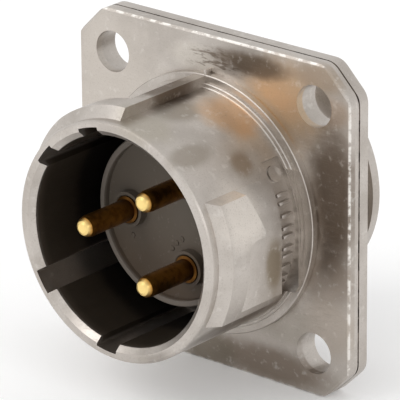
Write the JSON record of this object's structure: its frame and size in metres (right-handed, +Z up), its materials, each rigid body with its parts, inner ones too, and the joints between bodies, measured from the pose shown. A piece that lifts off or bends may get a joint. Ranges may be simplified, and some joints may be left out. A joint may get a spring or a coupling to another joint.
{
  "type": "circular panel connector receptacle",
  "caption": "Square-flange circular panel receptacle with a keyed barrel, outer bayonet lobes and male pin contacts in an insulating insert.",
  "frame": {"origin": "centre of the flange's rear mounting face, on the axis of the connector", "axes": "+Y points back through the panel along the connector's axis, -Y out of the mating face towards the plug, +X to the right seen from the mating side, +Z up"},
  "size_m": [0.0244, 0.019, 0.0244],
  "materials": {
    "nickel_shell": "satin nickel plate on die-cast zinc",
    "insulator": "dark grey moulded thermoplastic",
    "gold_contact": "gold plate on turned copper alloy",
    "spring_steel": "plain stainless spring steel"
  },
  "bodies": {
    "root": {"shell": "nickel_shell", "insert": "insulator", "contact_1": "gold_contact", "contact_2": "gold_contact", "contact_3": "gold_contact", "contact_clip_1": "spring_steel", "contact_clip_2": "spring_steel", "contact_clip_3": "spring_steel", "insert_retaining_ring": "spring_steel"}
  },
  "joints": []
}
